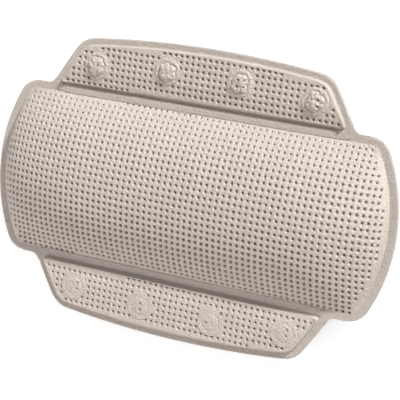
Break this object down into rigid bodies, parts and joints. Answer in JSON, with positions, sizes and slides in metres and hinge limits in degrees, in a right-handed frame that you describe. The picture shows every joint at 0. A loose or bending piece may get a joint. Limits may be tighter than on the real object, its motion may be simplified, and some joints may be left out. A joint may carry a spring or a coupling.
{
  "type": "bath pillow",
  "caption": "Foam-filled vinyl bath pillow: a pitted, crowned bolster between folding welded flaps with suction cups behind them.",
  "frame": {"origin": "under the bolster's centre, in the plane of the suction cups' lips, which the pillow lies on", "axes": "+X along the bolster, +Y towards the upper flap, +Z out of the front, where the head rests"},
  "size_m": [0.334, 0.2308, 0.0398],
  "materials": {
    "embossed_cover": "matte",
    "hinge_weld": "satin",
    "back_sheet": "satin",
    "foam_core": "matte",
    "clear_vinyl": "gloss"
  },
  "bodies": {
    "bolster": {"bolster_cover": "embossed_cover", "bolster_core": "foam_core", "bolster_back": "back_sheet", "upper_hinge_web": "hinge_weld", "lower_hinge_web": "hinge_weld"},
    "upper_flap": {"upper_flap_cover": "embossed_cover", "upper_flap_back": "back_sheet", "upper_cup_washer_1": "clear_vinyl", "upper_cup_washer_2": "clear_vinyl", "upper_cup_washer_3": "clear_vinyl", "upper_cup_washer_4": "clear_vinyl"},
    "lower_flap": {"lower_flap_cover": "embossed_cover", "lower_flap_back": "back_sheet", "lower_cup_washer_1": "clear_vinyl", "lower_cup_washer_2": "clear_vinyl", "lower_cup_washer_3": "clear_vinyl", "lower_cup_washer_4": "clear_vinyl"},
    "upper_cup_1": {"upper_cup_1": "clear_vinyl"},
    "upper_cup_2": {"upper_cup_2": "clear_vinyl"},
    "upper_cup_3": {"upper_cup_3": "clear_vinyl"},
    "upper_cup_4": {"upper_cup_4": "clear_vinyl"},
    "lower_cup_1": {"lower_cup_1": "clear_vinyl"},
    "lower_cup_2": {"lower_cup_2": "clear_vinyl"},
    "lower_cup_3": {"lower_cup_3": "clear_vinyl"},
    "lower_cup_4": {"lower_cup_4": "clear_vinyl"}
  },
  "joints": [
    {"name": "upper_flap_fold", "type": "hinge", "parent": "bolster", "child": "upper_flap", "pos_m": [0, 0.0668, 0.0133], "axis": [1, 0, 0], "range_deg": [-90, 60], "stiffness_Nm_per_rad": 0.4, "deforming": ["upper_hinge_web"]},
    {"name": "lower_flap_fold", "type": "hinge", "parent": "bolster", "child": "lower_flap", "pos_m": [0, -0.0668, 0.0133], "axis": [-1, 0, 0], "range_deg": [-90, 60], "stiffness_Nm_per_rad": 0.4, "deforming": ["lower_hinge_web"]},
    {"name": "upper_cup_1_swivel", "type": "hinge", "parent": "upper_flap", "child": "upper_cup_1", "pos_m": [-0.09, 0.08883, 0.0133], "axis": [0, 0, 1], "continuous": true},
    {"name": "upper_cup_2_swivel", "type": "hinge", "parent": "upper_flap", "child": "upper_cup_2", "pos_m": [-0.03, 0.09334, 0.0133], "axis": [0, 0, 1], "continuous": true},
    {"name": "upper_cup_3_swivel", "type": "hinge", "parent": "upper_flap", "child": "upper_cup_3", "pos_m": [0.03, 0.09334, 0.0133], "axis": [0, 0, 1], "continuous": true},
    {"name": "upper_cup_4_swivel", "type": "hinge", "parent": "upper_flap", "child": "upper_cup_4", "pos_m": [0.09, 0.08883, 0.0133], "axis": [0, 0, 1], "continuous": true},
    {"name": "lower_cup_1_swivel", "type": "hinge", "parent": "lower_flap", "child": "lower_cup_1", "pos_m": [-0.09, -0.08883, 0.0133], "axis": [0, 0, 1], "continuous": true},
    {"name": "lower_cup_2_swivel", "type": "hinge", "parent": "lower_flap", "child": "lower_cup_2", "pos_m": [-0.03, -0.09334, 0.0133], "axis": [0, 0, 1], "continuous": true},
    {"name": "lower_cup_3_swivel", "type": "hinge", "parent": "lower_flap", "child": "lower_cup_3", "pos_m": [0.03, -0.09334, 0.0133], "axis": [0, 0, 1], "continuous": true},
    {"name": "lower_cup_4_swivel", "type": "hinge", "parent": "lower_flap", "child": "lower_cup_4", "pos_m": [0.09, -0.08883, 0.0133], "axis": [0, 0, 1], "continuous": true}
  ]
}
